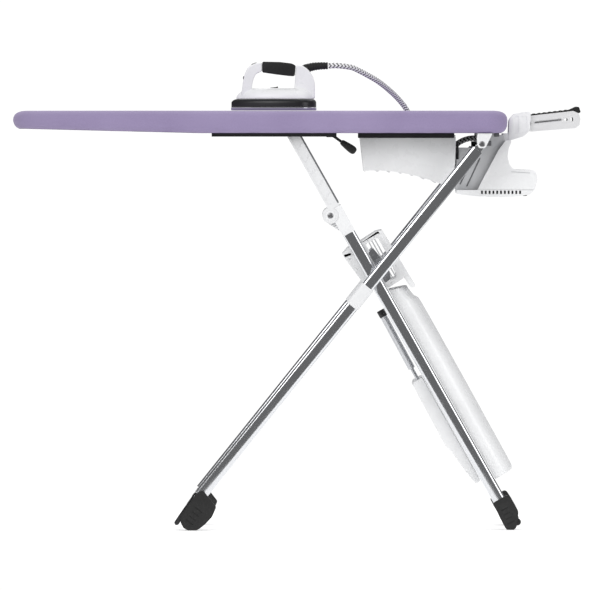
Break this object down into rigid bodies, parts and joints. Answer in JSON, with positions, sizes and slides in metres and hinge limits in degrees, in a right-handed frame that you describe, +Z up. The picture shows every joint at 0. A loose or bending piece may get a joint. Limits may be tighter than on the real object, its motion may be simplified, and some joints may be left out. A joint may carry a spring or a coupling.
{
  "type": "steam ironing board",
  "caption": "Padded ironing board on a folding scissor frame with a slide-in water tank, steam generator, iron rest, iron and steam hose.",
  "frame": {"origin": "on the floor, under the middle of the overall length and width of the board and its iron rest", "axes": "+X from the nose of the board to the iron rest, +Z up, -Y the side with the height lever"},
  "size_m": [1.389, 0.444, 1.1393],
  "materials": {
    "cover": "matt woven",
    "felt": "matt",
    "steel": "satin",
    "chrome": "chromed",
    "white_plastic": "satin",
    "grey_plastic": "satin",
    "black_plastic": "matt",
    "rubber": "matt",
    "brass": "satin",
    "aluminium": "brushed",
    "hose_braid": "matt braid"
  },
  "bodies": {
    "board": {"board_deck": "steel", "board_pad": "felt", "board_cover": "cover", "slide_track": "black_plastic", "pivot_bracket_front": "white_plastic", "pivot_bracket_back": "white_plastic", "tank_cradle": "black_plastic", "generator_body": "grey_plastic", "generator_cowl": "white_plastic", "generator_base": "white_plastic", "boiler": "steel", "water_pump": "brass", "blower_motor": "steel", "rest_bracket": "white_plastic", "hose_hook": "black_plastic", "hose_gland": "black_plastic", "hose_run": "hose_braid", "hose_coil": "hose_braid"},
    "outer_legs": {"leg_a_tube_front": "chrome", "leg_a_tube_back": "chrome", "leg_a_sleeve_front": "white_plastic", "leg_a_sleeve_back": "white_plastic", "boot_a_front": "rubber", "boot_a_back": "rubber", "foot_bar_a": "chrome"},
    "inner_legs": {"leg_b_tube_front": "chrome", "leg_b_tube_back": "chrome", "top_sleeve_front": "white_plastic", "top_sleeve_back": "white_plastic", "strut_front": "white_plastic", "strut_back": "white_plastic", "slider_shaft": "steel", "knee_axle": "steel", "cross_axle": "steel", "boot_b_front": "rubber", "boot_b_back": "rubber", "foot_bar_b": "chrome", "crossing_bracket": "white_plastic", "iron_pocket": "white_plastic", "gas_spring": "grey_plastic", "lower_cover": "white_plastic"},
    "carriage": {"slide_carriage": "black_plastic"},
    "height_lever": {"lever_arm": "steel", "lever_grip": "black_plastic"},
    "pedal": {"foot_pedal": "black_plastic"},
    "roller_front": {"roller_front": "rubber"},
    "roller_back": {"roller_back": "rubber"},
    "tank": {"water_tank": "white_plastic", "tank_lid": "white_plastic"},
    "blower": {"blower_wheel": "black_plastic"},
    "iron_rest": {"rest_tray": "aluminium", "rest_mat": "rubber"},
    "iron": {"iron_soleplate": "aluminium", "iron_skirt": "black_plastic", "iron_shell": "white_plastic", "iron_grip": "black_plastic", "hose_relief": "rubber"},
    "steam_button": {"steam_button": "black_plastic"},
    "front_button": {"front_button": "black_plastic"},
    "thumb_slider": {"thumb_slider": "black_plastic"}
  },
  "joints": [
    {"name": "leg_fold", "type": "hinge", "parent": "board", "child": "outer_legs", "pos_m": [0.4505, 0, 0.9384], "axis": [0, 1, 0], "range_deg": [0, 32.5]},
    {"name": "crossing", "type": "hinge", "parent": "outer_legs", "child": "inner_legs", "pos_m": [0.18915, 0, 0.61218], "axis": [0, 1, 0], "range_deg": [-68.11, 0]},
    {"name": "slider_pivot", "type": "hinge", "parent": "inner_legs", "child": "carriage", "pos_m": [-0.02036, 0, 0.984], "axis": [0, 1, 0], "range_deg": [0, 35.61]},
    {"name": "height_lever", "type": "hinge", "parent": "board", "child": "height_lever", "pos_m": [0.079, -0.135, 0.966], "axis": [0, 1, 0], "range_deg": [-12, 0], "stiffness_Nm_per_rad": 1},
    {"name": "foot_pedal", "type": "hinge", "parent": "outer_legs", "child": "pedal", "pos_m": [-0.24041, -0.15, 0.076], "axis": [0, 1, 0], "range_deg": [-8, 0], "stiffness_Nm_per_rad": 1, "springref_deg": 8.59},
    {"name": "roller_front", "type": "hinge", "parent": "inner_legs", "child": "roller_front", "pos_m": [0.53814, -0.12, 0.0175], "axis": [0, 1, 0], "continuous": true},
    {"name": "roller_back", "type": "hinge", "parent": "inner_legs", "child": "roller_back", "pos_m": [0.53814, 0.12, 0.0175], "axis": [0, 1, 0], "continuous": true},
    {"name": "tank_slide", "type": "slide", "parent": "board", "child": "tank", "axis": [-1, 0, 0], "range_m": [0, 0.05]},
    {"name": "blower_spin", "type": "hinge", "parent": "board", "child": "blower", "pos_m": [0.4495, -0.046, 0.876], "axis": [0, 1, 0], "continuous": true},
    {"name": "rest_fold", "type": "hinge", "parent": "board", "child": "iron_rest", "pos_m": [0.5503, 0, 0.9857], "axis": [0, 1, 0], "range_deg": [0, 55]},
    {"name": "iron_lift", "type": "slide", "parent": "board", "child": "iron", "axis": [0, 0, 1], "range_m": [0, 0.12]},
    {"name": "steam_button", "type": "slide", "parent": "iron", "child": "steam_button", "axis": [0, 0, -1], "range_m": [0, 0.002], "stiffness_N_per_m": 800},
    {"name": "front_button", "type": "slide", "parent": "iron", "child": "front_button", "axis": [1, 0, 0], "range_m": [0, 0.0015], "stiffness_N_per_m": 800},
    {"name": "thumb_slider", "type": "slide", "parent": "iron", "child": "thumb_slider", "axis": [-1, 0, 0], "range_m": [0, 0.008]}
  ],
  "couplings": [
    {"joint": "crossing", "follows": "leg_fold", "ratio": -2.0956},
    {"joint": "slider_pivot", "follows": "leg_fold", "ratio": 1.0956}
  ]
}
